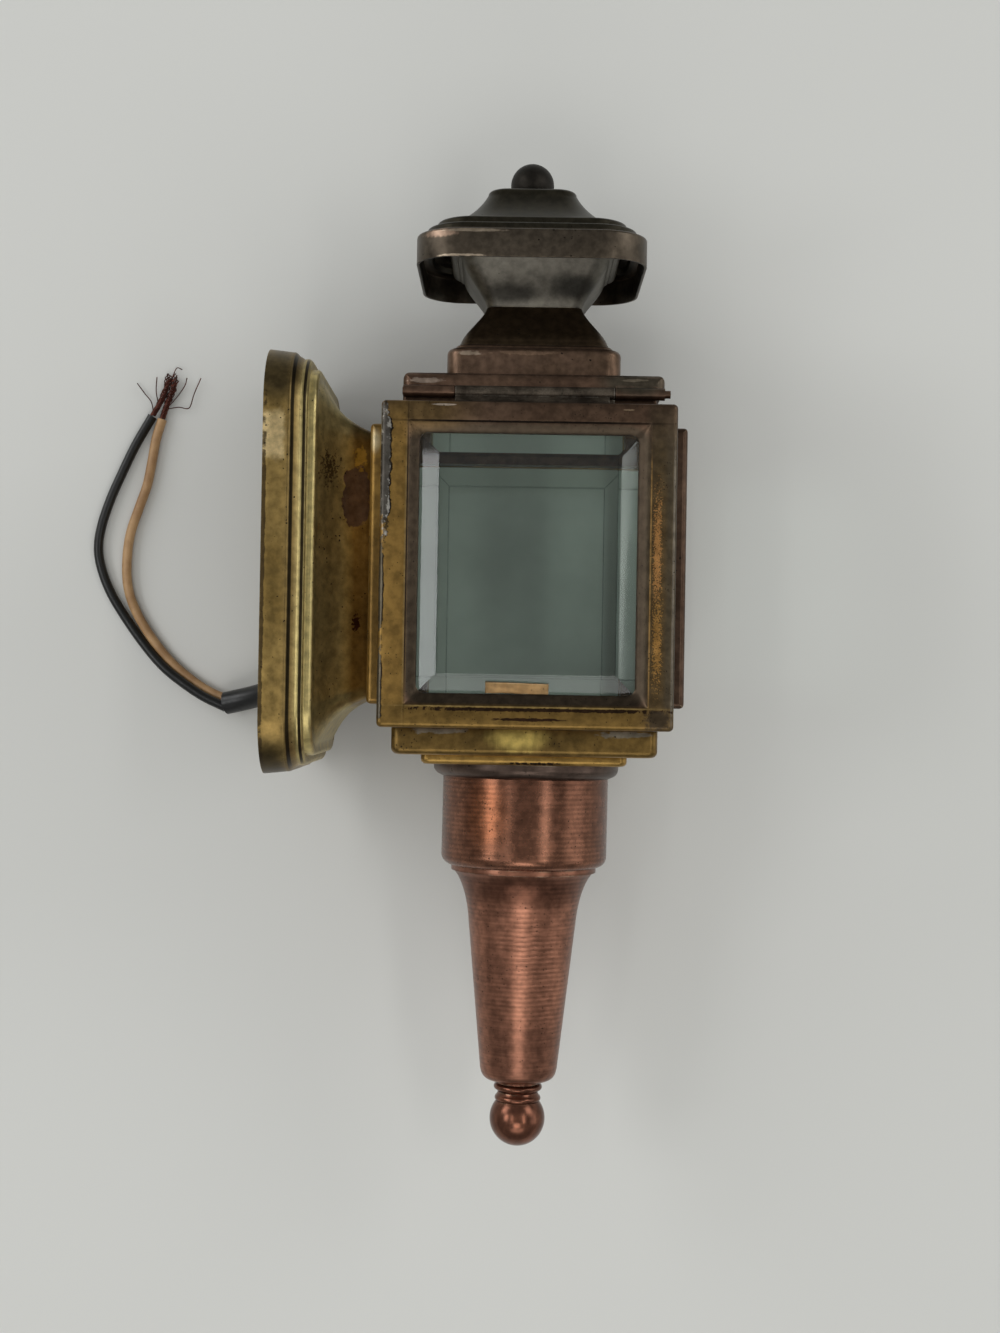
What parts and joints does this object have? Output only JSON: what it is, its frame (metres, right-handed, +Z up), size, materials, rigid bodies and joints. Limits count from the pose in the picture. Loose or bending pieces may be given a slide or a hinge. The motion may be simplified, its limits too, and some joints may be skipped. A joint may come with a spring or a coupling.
{
  "type": "carriage lantern",
  "caption": "Square carriage lantern on a pressed wall plate, with bevelled panes, a hinged lid under a chimney and canopy, a lampholder and a copper tail.",
  "frame": {"origin": "midpoint between the two wall screw holes, on the wall's surface", "axes": "+X away from the wall, +Z up, the lid's hinge edge on the -Y side"},
  "size_m": [0.1997, 0.0968, 0.3172],
  "materials": {
    "plate_brass": "old gold brass, worn and specked",
    "aged_brass": "old gold brass going brown, silvery worn edges",
    "gold_brass": "gold brass with solder marks",
    "brown_bronze": "brown bronze patina with pale scuffs",
    "dark_bronze": "very dark bronze patina",
    "soldered_bronze": "brown bronze under grey solder",
    "dull_tin": "cloudy grey with dark smudges",
    "red_copper": "red copper with fine turning lines",
    "plain_brass": "plain brass",
    "tan_brass": "dull tan brass strip",
    "plated_steel": "zinc plated",
    "pane_glass": "clear, faint teal tint, bevelled",
    "porcelain": "glazed white",
    "black_plastic": "matt black",
    "black_insulation": "black, slightly glossy",
    "tan_insulation": "tan, slightly glossy",
    "bare_copper": "bare twisted copper strands"
  },
  "bodies": {
    "lantern": {"wall_plate": "plate_brass", "mounting_bar": "plated_steel", "wall_frame": "aged_brass", "lead_bush": "black_plastic", "body_case": "brown_bronze", "front_frame": "aged_brass", "rear_frame": "aged_brass", "outer_frame": "brown_bronze", "front_glass": "pane_glass", "rear_glass": "pane_glass", "outer_glass": "pane_glass", "glass_beds": "brown_bronze", "glass_clip": "tan_brass", "bottom_tray": "gold_brass", "step_plate": "gold_brass", "collar_ring": "red_copper", "copper_cup": "red_copper", "tail_cone": "red_copper", "tail_finial": "red_copper", "stem_tube": "plated_steel", "stem_nuts": "plain_brass", "lampholder_shell": "black_plastic", "lampholder_base": "black_plastic", "porcelain_core": "porcelain", "screw_shell": "plain_brass", "centre_contact": "plain_brass", "inner_leads": "black_insulation", "hinge_leaf": "soldered_bronze", "hinge_pin": "brown_bronze", "lead_sleeve": "black_insulation", "black_lead": "black_insulation", "tan_lead": "tan_insulation", "black_strands": "bare_copper", "tan_strands": "bare_copper"},
    "lid": {"lid_tray": "brown_bronze", "chimney_base": "brown_bronze", "chimney_flare": "dull_tin", "canopy": "dark_bronze", "top_finial": "dark_bronze", "tie_rod": "plated_steel", "tie_bridge": "plated_steel", "tie_nut": "plain_brass"}
  },
  "joints": [
    {"name": "lid_hinge", "type": "hinge", "parent": "lantern", "child": "lid", "pos_m": [0.08, -0.0406, 0.05165], "axis": [1, 0, 0], "range_deg": [0, 100]}
  ]
}
